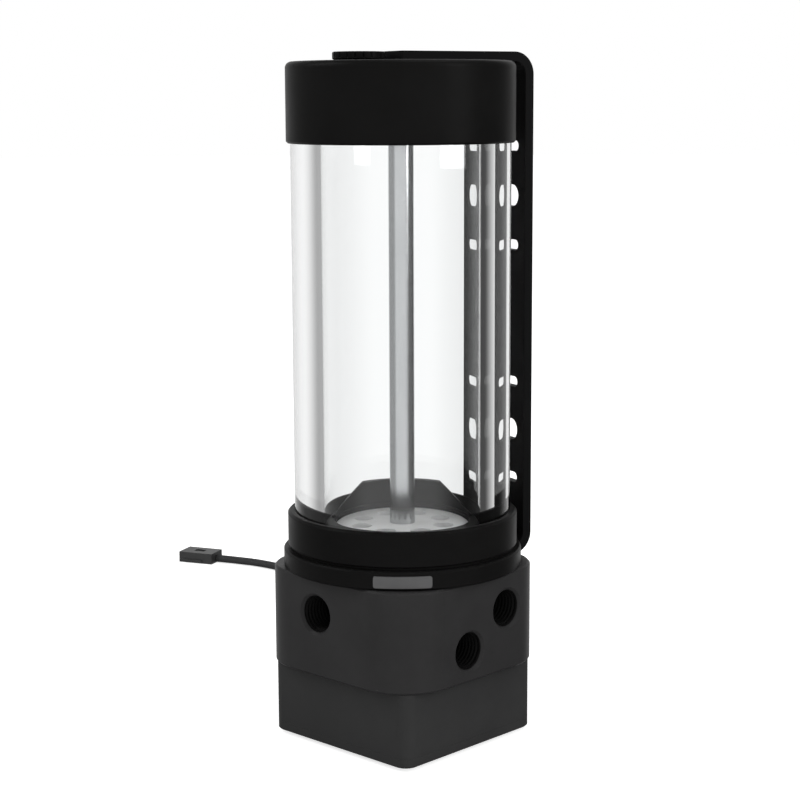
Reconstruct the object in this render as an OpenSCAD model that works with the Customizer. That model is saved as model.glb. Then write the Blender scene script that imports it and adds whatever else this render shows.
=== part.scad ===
// Coolant pump reservoir: a thick clear tank tube stands on a square pump, and a
// C-shaped slotted bracket clamps both ends. Millimetres, +Z up. The origin is on
// the floor at the tank's axis, the bracket is at the back, turned a little towards
// +X, and the two faces with ports look along -Y and +X.

/* [Pump housing] */
// Width of the square housing that holds the motor
housing_w = 60; // [60:0.5:62]
// Radius of the housing's upright corners
housing_corner_r = 4.5; // [3:0.5:5.5]
// Thinnest wall of the housing around its round cavity
housing_wall = 4.5; // [4:0.1:6]
// Height of the housing without its bottom plate
housing_h = 20.4; // [20.4:0.2:26]
// Thickness of the bottom plate
plate_t = 3; // [2.8:0.1:4]
// Thickness of the rubber pad under the bottom plate
pad_t = 1; // [0.6:0.1:2]
// Width of the rubber pad
pad_w = 40; // [30:1:41]

/* [Pump top] */
// Width of the square pump top
top_w = 68; // [67:0.5:72]
// Radius of the pump top's upright corners
top_corner_r = 17; // [15:0.5:18]
// Height of the pump top
top_h = 31.8; // [31.4:0.2:38]
// Width of the bevel along the pump top's upper and lower edges
top_bevel = 0.6; // [0.3:0.1:1]
// Radius of the sump under the tank
sump_r = 19; // [18:0.25:19.25]
// Radius of the pump chamber
chamber_r = 19; // [17:0.25:20]
// Height of the pump chamber
chamber_h = 12.1; // [11.6:0.1:13]
// Thickness of the wall between the pump chamber and the sump
divider_t = 5.5; // [4:0.25:6]
// Radius of the hole from the sump to the impeller's eye
eye_r = 6.5; // [5:0.25:8]

/* [Ports] */
// Radius of the threaded ports, for a G1/4 thread
port_r = 5.9; // [5.6:0.05:6.1]
// Depth of a port's threaded part
port_l = 11.2; // [10.6:0.2:12]
// Radius of the way on from a port's threaded part
way_r = 4.2; // [3.8:0.1:4.6]
// Width of the lead-in bevel at a port's mouth
port_bevel = 0.8; // [0.4:0.1:1.2]
// Height of the upper ports above the underside of the pump top
high_port_h = 20; // [19:0.25:22]
// Height of the lower port above the underside of the pump top
low_port_h = 9.8; // [8:0.2:10]
// Sideways place of the front port
front_port_x = -5.2; // [-8:0.2:0]
// Sideways place of the upper port on the right face
right_high_port_y = 12; // [9:0.25:12]
// Sideways place of the lower port on the right face
right_low_port_y = -5.5; // [-8:0.25:-4]

/* [Tank] */
// Outer radius of the clear tube
tube_r = 34.4; // [33:0.1:34.6]
// Inner radius of the clear tube
tube_bore_r = 25; // [24.5:0.1:27]
// Length of the clear tube
tube_l = 133.4; // [110:1:180]
// Thickness of the flat gasket under the tube
gasket_t = 1; // [0.5:0.1:1.5]
// Radius of the base flange
flange_r = 38; // [37.5:0.25:39]
// Thickness of the base flange
flange_t = 5.8; // [5.4:0.1:8]
// Height of the spigot that stands inside the tube
spigot_h = 9.6; // [9:0.1:12]
// Wall of the spigot's rim around the inlet plate
rim_t = 3.3; // [3:0.1:3.6]
// Wall of the collar around the foot of the tube
collar_wall = 2.15; // [1.8:0.05:3]
// Height of the collar
collar_h = 11.9; // [9:0.1:16]
// Thickness of the inlet plate in the tank's floor
inlet_t = 2; // [1.5:0.1:3]
// Depth of the inlet plate below the spigot's rim
inlet_depth = 1.7; // [1:0.1:2.5]
// Number of holes in the inlet plate
inlet_holes = 8; // [4:1:10]
// Radius of those holes
inlet_hole_r = 3.2; // [2:0.1:3.4]
// Height of the flow deflector above the spigot's rim
deflector_h = 7.6; // [4:0.2:12]

/* [Cap] */
// Wall of the cap around the tube
cap_wall = 1.25; // [1:0.05:2.5]
// Height of the cap
cap_h = 24.9; // [24:0.1:32]
// How far the cap reaches down over the tube
cap_grip = 6.7; // [5.5:0.1:9]
// Radius of the round at the cap's upper edge
cap_round = 2; // [0.8:0.1:2.5]
// Distance of the fill port from the tank's axis
fill_port_y = 14.5; // [14.2:0.1:14.8]
// Radius of the fill plug's head
plug_head_r = 8.2; // [7.8:0.1:8.4]
// Height of the fill plug's head
plug_head_h = 2.4; // [2:0.1:4]
// Length of the fill plug's thread
plug_thread_l = 9; // [6:0.5:10]

/* [Tie rod] */
// Radius of the tie rod in the middle of the tank
rod_r = 4; // [3.6:0.1:5]
// Radius of the tie rod's threads
rod_thread_r = 2.45; // [2:0.05:2.6]

/* [Bracket] */
// Angle of the bracket from the pump's rear face, in degrees
bracket_turn = 17; // [12:1:22]
// Width of the bracket
bracket_w = 20.6; // [20:0.2:21]
// Thickness of the bracket's sheet
bracket_t = 3; // [2:0.1:3.2]
// Distance from the tank's axis to the inner face of the bracket
bracket_reach = 39.3; // [38.6:0.1:46]
// Inside radius of the bracket's bends
bend_r = 4; // [2.5:0.25:4.5]
// How far the upper arm reaches past the tank's axis
arm_past = 5; // [2:0.1:5.2]
// Length of the slots across the bracket
slot_l = 12.8; // [9:0.2:14]
// Height of the wide slots
wide_slot_h = 7; // [5:0.25:9]
// Height of the narrow slots
narrow_slot_h = 3.4; // [2.5:0.1:4.5]
// Distance between a wide slot and its narrow neighbours
slot_step = 15.8; // [12:0.2:18]
// Distance between the two wide slots
slot_span = 76; // [60:1:80]

/* [Motor] */
// Radius of the magnet ring
magnet_r = 13.1; // [11:0.1:13.3]
// Length of the magnet ring
magnet_l = 10; // [8:0.5:11]
// Radius of the impeller's disc
impeller_r = 15.5; // [12:0.5:16]
// Height of the impeller's vanes
vane_h = 6; // [4:0.25:7]
// Number of vanes
vanes = 7; // [5:1:9]
// Radius of the fixed shaft that the rotor turns on
shaft_r = 1.5; // [1:0.1:2]
// Outer radius of the bush on the shaft
bush_r = 3; // [2.8:0.1:3.4]
// Number of stator coils
coils = 6; // [4:1:9]
// Height of the stator's core
stator_h = 8; // [6:0.5:9]

/* [Screws] */
// Shank radius of the M4 screws
screw_r = 1.95; // [1.4:0.05:2]
// Head radius of the screws under the pump
head_r = 3.5; // [3:0.1:4]
// Length of the screws in the flange of the tank's base
flange_screw_l = 13; // [11:0.5:13]
// Length of the screws in the bracket's arms
bracket_screw_l = 11; // [8:0.5:12]
// How far the housing screws reach into the pump top
housing_screw_bite = 12; // [8:0.5:14]
// Distance of the housing screws from the housing's faces
housing_screw_inset = 5.5; // [5:0.1:6]
// Distance of the flange screws from the tank's axis
flange_screw_d = 29.5; // [29:0.1:30]
// Half the distance between the two screws in a bracket arm
arm_screw_x = 5.8; // [4.5:0.1:6.2]

/* [Pump lead] */
// Radius of the pump lead
lead_r = 1.6; // [1:0.1:1.7]
// Length of the strain relief at the pump
relief_l = 8; // [6:0.5:12]
// Height of the lead's outlet above the floor
lead_z = 12; // [9:0.5:15]
// Length of the connector
plug_l = 16; // [12:0.5:20]
// Width of the connector
plug_w = 10.2; // [8:0.2:12]
// Height of the connector
plug_h = 4.6; // [4:0.1:5.5]
// Length of the contacts in the connector
contact_l = 7; // [5:0.5:9]

/* [Clearances] */
// Gap around parts that slide into each other
fit = 0.05; // [0.05:0.01:0.1]
// Gap around screws in their holes
screw_fit = 0.05; // [0.02:0.01:0.1]
// Gap between the magnet ring and the can
rotor_gap = 0.5; // [0.3:0.05:0.8]

/* [Hidden] */
$fn = 72;
e = 0.1; // how far a cut runs past the face that it opens

// Levels, from the floor up
plate_z = pad_t;
housing_z = plate_z + plate_t;
top_z = housing_z + housing_h;
divider_z = top_z + chamber_h;
sump_z = divider_z + divider_t;
flange_z = top_z + top_h;
deck_z = flange_z + flange_t;
rim_z = deck_z + spigot_h;
inlet_z = rim_z - inlet_depth;
tube_z = deck_z + gasket_t;
tube_top_z = tube_z + tube_l;
cap_z = tube_top_z - cap_grip;
cap_top_z = cap_z + cap_h;

// Motor: the can hangs in the housing and the rotor turns inside it
can_t = 1;
can_flange_t = 2;
can_z = top_z - can_flange_t;
magnet_top_z = top_z - 3.7;
magnet_z = magnet_top_z - magnet_l;
can_bore_r = magnet_r + rotor_gap;
can_floor_z = magnet_z - 1;
cavity_r = housing_w / 2 - housing_wall;
can_flange_r = cavity_r + 2.5;
housing_screw_xy = housing_w / 2 - housing_screw_inset;
hub_r = bush_r + 2;
disc_z = top_z + 1;
disc_t = 1.6;
vane_t = 1.4;
vane_bend_r = impeller_r * 0.75;
shaft_top_z = disc_z + disc_t + 3;
stator_r = cavity_r - 0.2;
stator_bore_r = can_bore_r + can_t + 0.15;
stator_z = can_floor_z + 1;
yoke_t = 2.6;
tooth_w = 4;
board_z = housing_z + 1.6;
board_t = 1.2;

chip_w = 7;
chip_h = 1;

// Seals
seal_r = 0.75;
seal_groove_w = 2 * seal_r + 0.6;
pump_seal_r = chamber_r + 3.1;
flange_seal_r = sump_r + 2.4;
spigot_r = tube_bore_r - 6 * fit;
rim_bore_r = spigot_r - rim_t;
bore_seal_r = 0.9;
bore_seal_h = 3.1;
bore_groove_h = 2 * bore_seal_r + 0.4;

// Collar and cap
collar_r = tube_r + fit + collar_wall;
cap_r = tube_r + fit + cap_wall;
boss_r = 8;
crown_t = 10.6;
plug_face_z = cap_top_z - 0.8;
plug_seal_minor = 0.55;
plug_seal_d = port_r + 1;
plug_gap = 0.05;
plug_head_z = plug_face_z + 2 * (plug_seal_minor + plug_gap);
rod_socket = 10;

// Bracket: a C seen from the side, with its back plate past the tank
foot_z = flange_z;
arm_z = cap_top_z;
screw_room = 1; // depth of a blind hole past its screw
foot_end_y = 25;
foot_screw_y = 29.5;
arm_screw_y = 13;
back_y = bracket_reach + bracket_t;
wide_slots_z = [(foot_z + arm_z) / 2 - slot_span / 2 - 1, (foot_z + arm_z) / 2 + slot_span / 2 - 1];
screw_bore_r = screw_r + screw_fit;
cone_r = screw_r + 1.8;
cone_h = 2;
rod_cone_r = 5;
rod_cone_h = 2.6;
contact_w = 1.3;
contact_pitch = 2.54;

// Pump lead, from the strain relief down to the floor and round behind the pump:
// each row is a way along X, a way along Y and a share of the outlet's height
lead_floor = lead_r + 0.1;
lead_x = -housing_w / 2 - relief_l;
lead_run = [
  [0, 0, 1], [-4, 0, 1], [-8, 0.5, 0.89], [-12, 1.7, 0.65], [-15.5, 3.4, 0.38], [-19.5, 6, 0.15],
  [-25, 10, 0.03], [-32, 17, 0], [-38, 25, 0], [-44.5, 36, 0], [-51, 48, 0], [-59, 61, 0],
  [-68.5, 74, 0], [-80, 86, 0], [-94, 97, 0], [-109, 105, 0], [-125, 110.5, 0],
  [-141, 113, 0], [-156, 112, 0], [-168, 108.5, 0], [-177, 105, 0]
];
lead_points = [for (p = lead_run) [lead_x + p[0], p[1], lead_floor + (lead_z - lead_floor) * p[2]]];
lead_route = [for (i = [0:len(lead_points) - 2], t = [0, 0.5]) bend_through(lead_points, i, t),
  lead_points[len(lead_points) - 1]];
lead_sides = 8;

function unit(v) = v / norm(v);
function bend_through(p, i, t) = let (
  a = p[max(i - 1, 0)], b = p[i], c = p[i + 1], d = p[min(i + 2, len(p) - 1)])
  (2 * b + (c - a) * t + (2 * a - 5 * b + 4 * c - d) * t * t + (3 * b - a - 3 * c + d) * t * t * t) / 2;
function tangent(p, i) = unit(p[min(i + 1, len(p) - 1)] - p[max(i - 1, 0)]);
function side(t) = unit(cross(t, [0, 0, 1]));
function ring(c, t, r, n) = [for (k = [0:n - 1])
  c + r * (cos(360 * k / n) * side(t) + sin(360 * k / n) * cross(side(t), t))];

// ---- shapes used by several parts ----

// Flat square with round corners
module round_square(w, r) {
  square([w, w - 2 * r], center = true);
  square([w - 2 * r, w], center = true);
  for (x = [-1, 1], y = [-1, 1]) translate([x, y] * (w / 2 - r)) circle(r);
}

// Upright block with round corners
module block(w, r, h) {
  linear_extrude(h) round_square(w, r);
}

// Triangle that breaks an edge at the origin, bevel wide
module edge_triangle(bevel) {
  polygon([[e, -bevel - e], [e, e], [-bevel - e, e]]);
}

// Frame of that triangle around the top edge of a block, with the edge at z = 0
module edge_frame(w, r, bevel) {
  for (turn = [0:90:270]) rotate(turn) {
    translate([w / 2, w / 2 - r, 0]) rotate([90, 0, 0])
      linear_extrude(w - 2 * r) edge_triangle(bevel);
    translate([w / 2 - r, w / 2 - r, 0])
      rotate_extrude(angle = 90) translate([r, 0]) edge_triangle(bevel);
  }
}

// Tube from z = 0 up
module pipe(r_out, r_in, h) {
  difference() {
    cylinder(r = r_out, h = h);
    translate([0, 0, -e]) cylinder(r = r_in, h = h + 2 * e);
  }
}

// Ring of round section
module oring(r, minor) {
  rotate_extrude() translate([r, 0]) circle(minor, $fn = 24);
}

// Places at the four corners of a square
module at_corners(d) {
  for (x = [-1, 1], y = [-1, 1]) translate([x * d, y * d, 0]) children();
}

// Turns children from the pump's rear face to the bracket's side
module at_bracket() {
  rotate(-bracket_turn) children();
}

// Countersunk screw, with its flat head at z = 0 and its shank below
module flat_screw(l) {
  difference() {
    union() {
      translate([0, 0, -l]) cylinder(r = screw_r, h = l);
      translate([0, 0, -cone_h]) cylinder(r1 = screw_r, r2 = cone_r, h = cone_h);
    }
    translate([0, 0, -1.4]) cylinder(r = 1.45, h = 1.4 + e, $fn = 6);
  }
}

// Hole for that screw
module flat_screw_hole(l) {
  translate([0, 0, -l]) cylinder(r = screw_bore_r, h = l + e);
  translate([0, 0, -cone_h - screw_fit])
    cylinder(r1 = screw_bore_r, r2 = cone_r + screw_fit, h = cone_h + screw_fit);
}

// ---- pump housing and motor ----

module base_pad() {
  color("#202022") block(pad_w, 3, pad_t);
}

module bottom_plate() {
  color("#2a2a2c") translate([0, 0, plate_z]) difference() {
    block(housing_w, housing_corner_r, plate_t);
    mirror([0, 0, 1]) edge_frame(housing_w, housing_corner_r, 0.5);
    at_corners(housing_screw_xy) {
      translate([0, 0, -e]) cylinder(r = screw_bore_r, h = plate_t + 2 * e);
      translate([0, 0, -e]) cylinder(r = head_r + screw_fit, h = plate_t - 1 + e);
    }
  }
}

module pump_housing() {
  color("#2a2a2c") difference() {
    translate([0, 0, housing_z]) block(housing_w, housing_corner_r, housing_h);
    translate([0, 0, housing_z - e]) cylinder(r = cavity_r, h = housing_h + 2 * e);
    translate([0, 0, can_z]) cylinder(r = can_flange_r + fit, h = can_flange_t + e);
    translate([0, 0, housing_z - e])
      at_corners(housing_screw_xy) cylinder(r = screw_bore_r, h = housing_h + 2 * e);
    translate([-cavity_r + 1, 0, lead_z]) rotate([0, -90, 0]) cylinder(r = 3 + fit, h = housing_w / 2);
  }
}

module housing_screws() {
  color("#707276") translate([0, 0, plate_z]) at_corners(housing_screw_xy) difference() {
    union() {
      cylinder(r = head_r, h = plate_t - 1);
      cylinder(r = screw_r, h = plate_t + housing_h + housing_screw_bite);
    }
    translate([0, 0, -e]) cylinder(r = 1.7, h = 1.4 + e, $fn = 6);
  }
}

module circuit_board() {
  color("#1d5a34") translate([0, 0, board_z])
    pipe(stator_r, bush_r, board_t);
}

// Driver chip, capacitors and the lead's solder block
module board_parts() {
  color("#3b3b3e") translate([0, 0, board_z + board_t]) {
    translate([stator_r / 2, -chip_w / 2, 0]) cube([chip_w, chip_w, chip_h]);
    for (a = [60, 100, 140]) rotate(a) translate([stator_r * 0.75, 0, 0])
      cylinder(r = chip_w / 4, h = chip_h);
    translate([-stator_r * 0.85, -chip_w / 2, 0]) cube([chip_w * 0.7, chip_w, chip_h]);
  }
}

module stator_core() {
  color("#8d9096") translate([0, 0, stator_z]) {
    pipe(stator_r, stator_r - yoke_t, stator_h);
    for (i = [0:coils - 1]) rotate(i * 360 / coils) {
      translate([stator_bore_r + 1, -tooth_w / 2, 0])
        cube([stator_r - yoke_t - stator_bore_r - 0.8, tooth_w, stator_h]);
      intersection() {
        pipe(stator_bore_r + 1.4, stator_bore_r, stator_h);
        translate([0, -tooth_w, 0]) cube([stator_r, 2 * tooth_w, stator_h]);
      }
    }
  }
}

// One winding around each tooth of the core
module stator_coils() {
  coil_l = stator_r - yoke_t - stator_bore_r - 2.4;
  color("#b36a36") for (i = [0:coils - 1]) rotate(i * 360 / coils)
    translate([stator_bore_r + 1.9, 0, stator_z + stator_h / 2]) rotate([0, 90, 0]) difference() {
      linear_extrude(coil_l) square([stator_h - 1 + 3.2, tooth_w + 3.2], center = true);
      translate([0, 0, -e]) linear_extrude(coil_l + 2 * e)
        square([stator_h + 0.1, tooth_w + 0.1], center = true);
    }
}

// Dry side below, wet side above: the cup that the rotor turns in
module pump_can() {
  color("#38383b") difference() {
    union() {
      translate([0, 0, can_z]) cylinder(r = can_flange_r, h = can_flange_t);
      translate([0, 0, can_floor_z - can_t])
        cylinder(r = can_bore_r + can_t, h = can_z - can_floor_z + can_t + e);
    }
    translate([0, 0, can_floor_z]) cylinder(r = can_bore_r, h = top_z - can_floor_z + e);
  }
}

module rotor_shaft() {
  color("#e4e2da") translate([0, 0, can_floor_z])
    cylinder(r = shaft_r, h = shaft_top_z - can_floor_z);
}

module rotor_bush() {
  color("#c9a25a") translate([0, 0, magnet_z])
    pipe(bush_r, shaft_r + fit, shaft_top_z - 1.5 - magnet_z);
}

module rotor_magnet() {
  color("#4a4a4e") translate([0, 0, magnet_z]) pipe(magnet_r, hub_r, magnet_l);
}

// One swept-back vane: a thin arc from the hub to the rim of the disc
module vane() {
  intersection() {
    translate([0, vane_bend_r, 0]) pipe(vane_bend_r, vane_bend_r - vane_t, vane_h);
    translate([bush_r + 0.4, -impeller_r, 0]) cube([impeller_r, 2 * impeller_r, vane_h]);
    cylinder(r = impeller_r - 0.4, h = vane_h);
  }
}

module impeller() {
  color("#d8d8d6") difference() {
    union() {
      translate([0, 0, magnet_z]) cylinder(r = hub_r, h = disc_z - magnet_z + e);
      translate([0, 0, magnet_top_z]) cylinder(r = hub_r + 3, h = disc_z - magnet_top_z + e);
      translate([0, 0, disc_z]) cylinder(r = impeller_r, h = disc_t);
      translate([0, 0, disc_z + disc_t - e]) {
        cylinder(r1 = hub_r + 1, r2 = bush_r + 0.8, h = 2);
        for (i = [0:vanes - 1]) rotate(i * 360 / vanes) vane();
      }
    }
    translate([0, 0, magnet_z - e]) cylinder(r = bush_r, h = disc_z + vane_h + 4 - magnet_z);
  }
}

module pump_oring() {
  color("#151515") translate([0, 0, top_z + seal_r]) oring(pump_seal_r, seal_r);
}

// ---- pump top ----

// Threaded port seen from outside: its mouth is at z = 0, and below its threaded part
// a narrower way runs on down
module port(depth) {
  translate([0, 0, -port_l]) cylinder(r = port_r, h = port_l + e);
  translate([0, 0, -depth]) cylinder(r = way_r, h = depth);
  translate([0, 0, -port_bevel]) cylinder(r1 = port_r, r2 = port_r + port_bevel + e, h = port_bevel + e);
}

module pump_top() {
  face = top_w / 2;
  color("#2b2b2d") difference() {
    translate([0, 0, top_z]) block(top_w, top_corner_r, top_h);
    translate([0, 0, flange_z]) edge_frame(top_w, top_corner_r, top_bevel);
    translate([0, 0, top_z]) mirror([0, 0, 1]) edge_frame(top_w, top_corner_r, top_bevel);
    // pump chamber, eye and sump
    translate([0, 0, top_z - e]) cylinder(r = chamber_r, h = chamber_h + e);
    translate([0, 0, divider_z - e]) cylinder(r = eye_r, h = divider_t + 2 * e);
    translate([0, 0, sump_z]) cylinder(r = sump_r, h = flange_z - sump_z + e);
    // ports
    translate([front_port_x, -face, top_z + high_port_h]) rotate([90, 0, 0]) port(face - sump_r + 3);
    translate([face, right_high_port_y, top_z + high_port_h]) rotate([0, 90, 0])
      port(face - sump_r + 7);
    translate([face, right_low_port_y, top_z + low_port_h]) rotate([0, 90, 0])
      port(face - chamber_r + 3);
    // seal grooves
    translate([0, 0, top_z - e]) pipe(pump_seal_r + seal_groove_w / 2,
      pump_seal_r - seal_groove_w / 2, 2 * seal_r + e);
    translate([0, 0, flange_z - 2 * seal_r]) pipe(flange_seal_r + seal_groove_w / 2,
      flange_seal_r - seal_groove_w / 2, 2 * seal_r + e);
    // screw holes
    translate([0, 0, top_z - e]) at_corners(housing_screw_xy)
      cylinder(r = screw_bore_r, h = housing_screw_bite + screw_room);
    translate([0, 0, deck_z - flange_screw_l - screw_room]) at_corners(flange_screw_d * sqrt(0.5))
      cylinder(r = screw_bore_r, h = flange_screw_l);
    at_bracket() for (x = [-1, 1])
      translate([x * arm_screw_x, foot_screw_y, foot_z + bracket_t - bracket_screw_l - screw_room])
        cylinder(r = screw_bore_r, h = bracket_screw_l);
  }
}

// ---- bracket ----

// Quarter of a bend, around the origin, between the directions +X and +Y
module bend() {
  intersection() {
    difference() {
      circle(bend_r + bracket_t);
      circle(bend_r);
    }
    square(2 * (bend_r + bracket_t));
  }
}

// Side view of the bracket: X is away from the tank, Y is up
module bracket_profile() {
  inner_x = bracket_reach - bend_r;
  translate([foot_end_y, foot_z]) square([inner_x - foot_end_y, bracket_t]);
  translate([-arm_past, arm_z]) square([inner_x + arm_past, bracket_t]);
  translate([bracket_reach, foot_z + bracket_t + bend_r])
    square([bracket_t, arm_z - foot_z - bracket_t - 2 * bend_r]);
  translate([inner_x, arm_z - bend_r]) bend();
  translate([inner_x, foot_z + bracket_t + bend_r]) mirror([0, 1]) bend();
}

// Slot with round ends through the back plate
module slot(h) {
  rotate([-90, 0, 0]) linear_extrude(bracket_t + 2 * e) {
    square([slot_l - h, h], center = true);
    for (x = [-1, 1]) translate([x * (slot_l - h) / 2, 0]) circle(h / 2);
  }
}

module bracket() {
  color("#1c1c1e") at_bracket() difference() {
    translate([-bracket_w / 2, 0, 0]) rotate([90, 0, 90])
      linear_extrude(bracket_w) bracket_profile();
    for (z = wide_slots_z) {
      translate([0, bracket_reach - e, z]) slot(wide_slot_h);
      for (s = [-1, 1]) translate([0, bracket_reach - e, z + s * slot_step]) slot(narrow_slot_h);
    }
    translate([0, -fill_port_y, arm_z - e]) cylinder(r = plug_head_r + 0.8, h = bracket_t + 2 * e);
    for (x = [-1, 1]) {
      translate([x * arm_screw_x, arm_screw_y, arm_z + bracket_t]) flat_screw_hole(bracket_t + e);
      translate([x * arm_screw_x, foot_screw_y, foot_z + bracket_t]) flat_screw_hole(bracket_t + e);
    }
  }
}

module bracket_foot_screws() {
  color("#55575b") at_bracket() for (x = [-1, 1])
    translate([x * arm_screw_x, foot_screw_y, foot_z + bracket_t]) flat_screw(bracket_screw_l);
}

module bracket_arm_screws() {
  color("#55575b") at_bracket() for (x = [-1, 1])
    translate([x * arm_screw_x, arm_screw_y, arm_z + bracket_t]) flat_screw(bracket_screw_l);
}

// ---- tank ----

module flange_oring() {
  color("#151515") translate([0, 0, flange_z - seal_r]) oring(flange_seal_r, seal_r);
}

// Ring, spigot and a four-armed hub for the tie rod
module base_flange() {
  edge = 0.5;
  color("#262628") difference() {
    union() {
      rotate_extrude() polygon([
        [sump_r, flange_z], [flange_r - edge, flange_z], [flange_r, flange_z + edge],
        [flange_r, deck_z - edge], [flange_r - edge, deck_z], [spigot_r, deck_z],
        [spigot_r, rim_z - edge], [spigot_r - edge, rim_z], [rim_bore_r, rim_z],
        [rim_bore_r, inlet_z - inlet_t], [sump_r, inlet_z - inlet_t]
      ]);
      translate([0, 0, flange_z + 1.8]) intersection() {
        cylinder(r = sump_r + 1, h = inlet_z - inlet_t - flange_z - 1.8);
        union() {
          cylinder(r = 6, h = flange_t + spigot_h);
          for (a = [0, 90]) rotate(a + 45) translate([-sump_r - 1, -2, 0])
            cube([2 * sump_r + 2, 4, flange_t + spigot_h]);
        }
      }
    }
    translate([0, 0, flange_z]) cylinder(r = rod_thread_r + screw_fit, h = flange_t + spigot_h + e);
    // pocket for the bracket's foot, and a flat on the rim for its bend
    at_bracket() {
      translate([-bracket_w / 2 - 0.2, foot_end_y - 0.5, flange_z - e])
        cube([bracket_w + 0.4, flange_r, bracket_t + fit + e]);
      translate([-bracket_w / 2 - 0.2, bracket_reach - bend_r - 0.4, flange_z - e])
        cube([bracket_w + 0.4, flange_r, flange_t + 2 * e]);
    }
    translate([0, 0, deck_z]) at_corners(flange_screw_d * sqrt(0.5)) flat_screw_hole(flange_t + e);
    translate([0, 0, deck_z + bore_seal_h - bore_groove_h / 2])
      pipe(spigot_r + 1, tube_bore_r - 2 * bore_seal_r, bore_groove_h);
  }
}

module flange_screws() {
  color("#55575b") translate([0, 0, deck_z]) at_corners(flange_screw_d * sqrt(0.5))
    flat_screw(flange_screw_l);
}

module tube_gasket() {
  color("#19191a") translate([0, 0, deck_z]) pipe(tube_r - 0.2, tube_bore_r + 0.2, gasket_t);
}

module spigot_oring() {
  color("#151515") translate([0, 0, deck_z + bore_seal_h])
    oring(tube_bore_r - bore_seal_r, bore_seal_r);
}

// Ring that keeps the foot of the tube in place, with a shadow groove at its foot
module collar() {
  edge = 0.5;
  color("#242426") translate([0, 0, deck_z]) rotate_extrude() polygon([
    [tube_r + fit, 0], [collar_r - 0.8, 0], [collar_r - 0.8, 0.8], [collar_r, 0.8 + edge],
    [collar_r, collar_h - 0.8], [collar_r - 0.8, collar_h], [tube_r + fit, collar_h]
  ]);
}

module tank_tube() {
  color("#dfeef2", 0.35) translate([0, 0, tube_z]) pipe(tube_r, tube_bore_r, tube_l);
}

module inlet_plate() {
  color("#b4b6b8") translate([0, 0, inlet_z - inlet_t]) difference() {
    cylinder(r = rim_bore_r - fit, h = inlet_t);
    translate([0, 0, -e]) cylinder(r = rod_thread_r + screw_fit, h = inlet_t + 2 * e);
    for (i = [0:inlet_holes - 1]) rotate((i + 0.5) * 360 / inlet_holes)
      translate([(rim_bore_r + 6) / 2, 0, -e]) cylinder(r = inlet_hole_r, h = inlet_t + 2 * e);
  }
}

// Arched wall on the spigot's rim, opposite the corner between the port faces
module flow_deflector() {
  color("#262628") translate([0, 0, rim_z]) rotate(45) intersection() {
    pipe(spigot_r - 0.6, rim_bore_r + 0.5, deflector_h);
    translate([0, tube_bore_r + 1, 0]) rotate([90, 0, 0]) linear_extrude(tube_bore_r + 1)
      polygon([[-rim_bore_r - 2, 0], [rim_bore_r + 2, 0], [rim_bore_r * 0.65, deflector_h],
        [-rim_bore_r * 0.65, deflector_h]]);
  }
}

module tie_rod() {
  color("#c8cacc") difference() {
    union() {
      translate([0, 0, inlet_z]) cylinder(r = rod_r, h = cap_z + rod_socket - inlet_z);
      translate([0, 0, flange_z + 3]) cylinder(r = rod_thread_r, h = inlet_z - flange_z - 3 + e);
    }
    translate([0, 0, cap_z + rod_socket - 12]) cylinder(r = rod_thread_r + screw_fit, h = 12 + e);
  }
}

// ---- cap ----

module cap_oring() {
  color("#151515") translate([0, 0, tube_top_z - bore_seal_h])
    oring(tube_bore_r - bore_seal_r, bore_seal_r);
}

module cap_profile() {
  edge = 0.6;
  difference() {
    union() {
      translate([0, cap_z + edge]) square([cap_r, cap_h - edge - cap_round]);
      translate([0, cap_top_z - cap_round - e]) square([cap_r - cap_round, cap_round + e]);
      translate([cap_r - cap_round, cap_top_z - cap_round]) circle(cap_round);
      polygon([[0, cap_z], [cap_r - edge, cap_z], [cap_r, cap_z + edge], [0, cap_z + edge]]);
    }
    // socket for the tube, then the hollow inside the spigot
    translate([spigot_r, cap_z - e]) square([tube_r + fit - spigot_r, cap_grip + e]);
    translate([-e - cap_r, cap_z - e]) square([cap_r + e, cap_h + 1]);
  }
}

module cap() {
  color("#202022") difference() {
    rotate_extrude() cap_profile();
    difference() {
      translate([0, 0, cap_z - e]) cylinder(r = rim_bore_r - 0.5, h = cap_h - crown_t + e);
      translate([0, 0, cap_z - 2 * e]) cylinder(r = boss_r, h = cap_h);
    }
    translate([0, 0, cap_z - e]) cylinder(r = rod_r + fit, h = rod_socket + e);
    translate([0, 0, cap_top_z]) {
      translate([0, 0, -cap_h]) cylinder(r = rod_thread_r + screw_fit, h = cap_h + e);
      translate([0, 0, -rod_cone_h - screw_fit])
        cylinder(r1 = rod_thread_r + screw_fit, r2 = rod_cone_r + screw_fit, h = rod_cone_h + screw_fit);
    }
    at_bracket() {
      translate([0, -fill_port_y, cap_top_z - crown_t - 2 * e]) cylinder(r = port_r, h = cap_h);
      translate([0, -fill_port_y, plug_face_z]) cylinder(r = plug_head_r + 0.4, h = 2);
      for (x = [-1, 1])
        translate([x * arm_screw_x, arm_screw_y, cap_top_z + bracket_t - bracket_screw_l - screw_room])
          cylinder(r = screw_bore_r, h = bracket_screw_l);
    }
    translate([0, 0, tube_top_z - bore_seal_h - bore_groove_h / 2])
      pipe(spigot_r + fit, tube_bore_r - 2 * bore_seal_r, bore_groove_h);
  }
}

module tie_rod_screw() {
  color("#8a8c90") translate([0, 0, cap_top_z]) difference() {
    union() {
      translate([0, 0, -cap_h + rod_socket - 8]) cylinder(r = rod_thread_r, h = cap_h - rod_socket + 8);
      translate([0, 0, -rod_cone_h]) cylinder(r1 = rod_thread_r, r2 = rod_cone_r, h = rod_cone_h);
    }
    translate([0, 0, -2]) cylinder(r = 1.75, h = 2 + e, $fn = 6);
  }
}

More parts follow.
